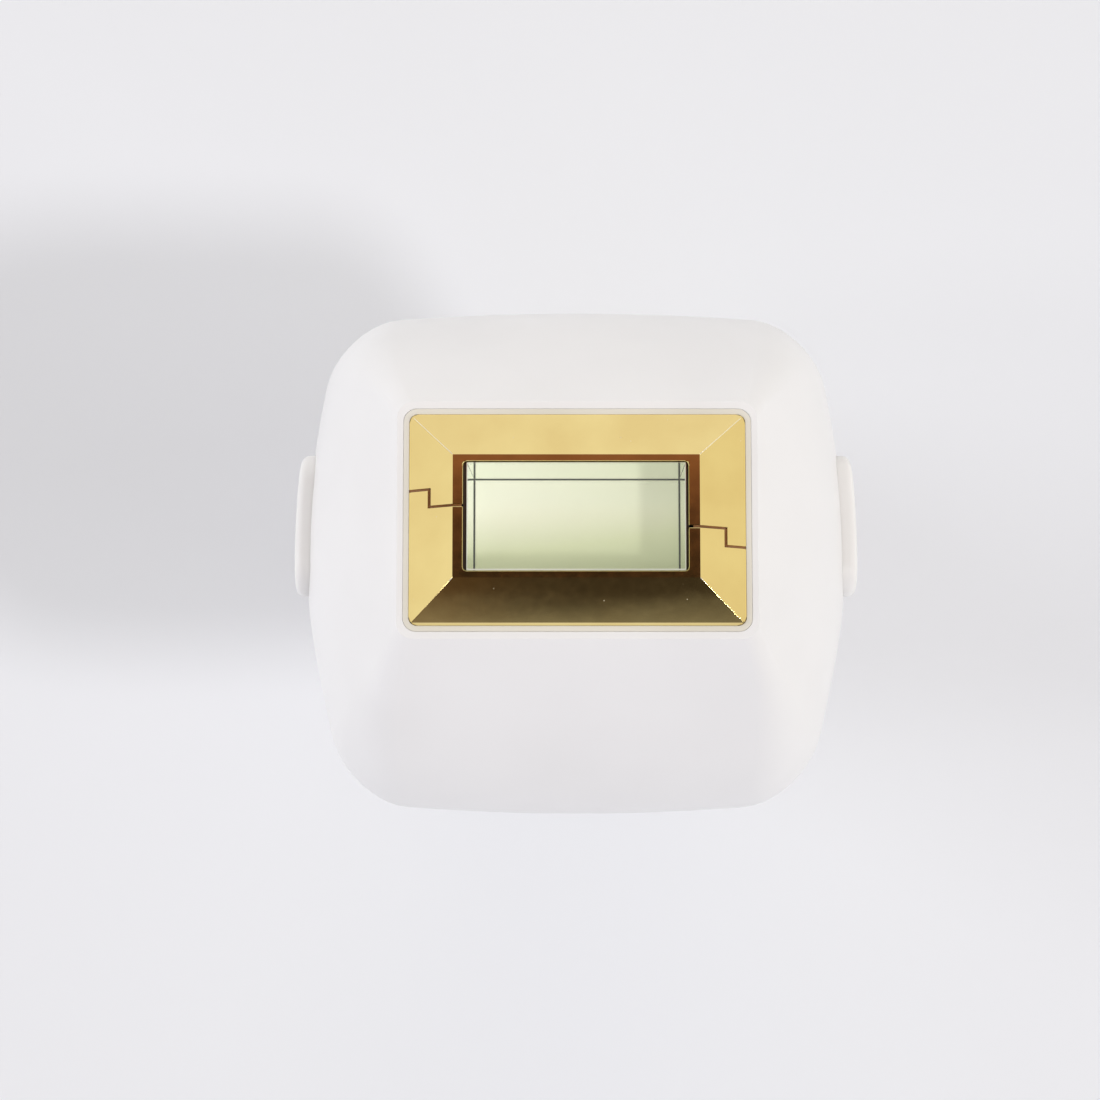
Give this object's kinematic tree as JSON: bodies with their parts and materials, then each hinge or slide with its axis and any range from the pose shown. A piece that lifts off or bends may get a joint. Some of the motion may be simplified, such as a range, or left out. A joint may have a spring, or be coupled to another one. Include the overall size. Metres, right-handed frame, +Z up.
{
  "type": "ipl hair remover",
  "caption": "Handheld intense-pulsed-light hair remover: an upright grip with buttons, and a pull-off lamp head whose flash window sits in a raised gold electrode frame.",
  "frame": {"origin": "middle of the rubber foot's underside, on the grip's axis", "axes": "+Z up from the foot to the flash window; -Y is the front, where the buttons are; +X is the user's right when the buttons face them"},
  "size_m": [0.0656, 0.06, 0.1602],
  "materials": {
    "shell_white": "smooth satin-gloss injection-moulded white",
    "seal_ivory": "matt ivory gasket",
    "gold_plate": "polished gold-plated electrode and trim",
    "window_glass": "clear pane with a pale yellow-green cast",
    "filter_glass": "pale yellow-green cut-off filter",
    "mirror_metal": "polished reflector",
    "quartz": "clear quartz tube",
    "grey_plastic": "matt grey structural moulding",
    "black_plastic": "matt black electrical moulding",
    "foot_rubber": "matt black rubber",
    "steel": "plain steel",
    "aluminium": "satin extruded aluminium",
    "brass": "turned brass contact",
    "board": "green coated circuit board",
    "lead": "red insulated lead",
    "light_guide": "frosted light guide"
  },
  "bodies": {
    "handle": {"front_shell": "shell_white", "rear_shell": "shell_white", "base_cap": "shell_white", "rubber_foot": "foot_rubber", "collar_ring": "gold_plate", "deck": "grey_plastic", "contact_socket": "black_plastic", "deck_screw_1": "steel", "deck_screw_2": "steel", "flash_switch": "black_plastic", "power_switch": "black_plastic", "level_light": "light_guide", "control_board": "board", "power_board": "board", "heat_sink": "aluminium", "trigger_transformer": "black_plastic", "fan_frame": "black_plastic", "dc_inlet": "black_plastic", "dc_inlet_pin": "brass", "flash_capacitor_left": "black_plastic", "flash_capacitor_right": "black_plastic", "lamp_lead_left": "lead", "lamp_lead_right": "lead", "case_screw_1": "steel", "case_screw_2": "steel", "case_screw_3": "steel", "case_screw_4": "steel", "board_screw_1": "steel", "board_screw_2": "steel"},
    "lamp_head": {"head_housing": "shell_white", "window_seal": "seal_ivory", "electrode_upper": "gold_plate", "electrode_lower": "gold_plate", "flash_window": "window_glass", "light_tunnel": "mirror_metal", "cutoff_filter": "filter_glass", "lamp_reflector": "mirror_metal", "flash_tube": "quartz", "flash_tube_cap_left": "steel", "flash_tube_cap_right": "steel", "lamp_carrier": "grey_plastic", "head_base": "grey_plastic", "head_board": "board", "contact_pin_1": "brass", "contact_pin_2": "brass", "contact_pin_3": "brass", "head_screw_1": "steel", "head_screw_2": "steel", "head_screw_3": "steel", "head_screw_4": "steel", "release_spring_left": "steel", "release_spring_right": "steel"},
    "release_left": {"release_button_left": "shell_white"},
    "release_right": {"release_button_right": "shell_white"},
    "flash_trigger": {"flash_button": "gold_plate"},
    "power_key": {"power_button": "shell_white"},
    "fan": {"fan_rotor": "black_plastic"}
  },
  "joints": [
    {"name": "head_pull_off", "type": "slide", "parent": "handle", "child": "lamp_head", "axis": [0, 0.1736, 0.9848], "range_m": [0, 0.04]},
    {"name": "release_left_press", "type": "slide", "parent": "lamp_head", "child": "release_left", "axis": [1, 0, 0], "range_m": [0, 0.0012], "stiffness_N_per_m": 900, "deforming": ["release_spring_left"]},
    {"name": "release_right_press", "type": "slide", "parent": "lamp_head", "child": "release_right", "axis": [-1, 0, 0], "range_m": [0, 0.0012], "stiffness_N_per_m": 900, "deforming": ["release_spring_right"]},
    {"name": "flash_press", "type": "slide", "parent": "handle", "child": "flash_trigger", "axis": [0, 1, 0], "range_m": [0, 0.0008], "stiffness_N_per_m": 1500},
    {"name": "power_press", "type": "slide", "parent": "handle", "child": "power_key", "axis": [0, 1, 0], "range_m": [0, 0.0005], "stiffness_N_per_m": 1500},
    {"name": "fan_spin", "type": "hinge", "parent": "handle", "child": "fan", "pos_m": [0, 0.0126, 0.092], "axis": [0, 1, 0], "continuous": true}
  ]
}
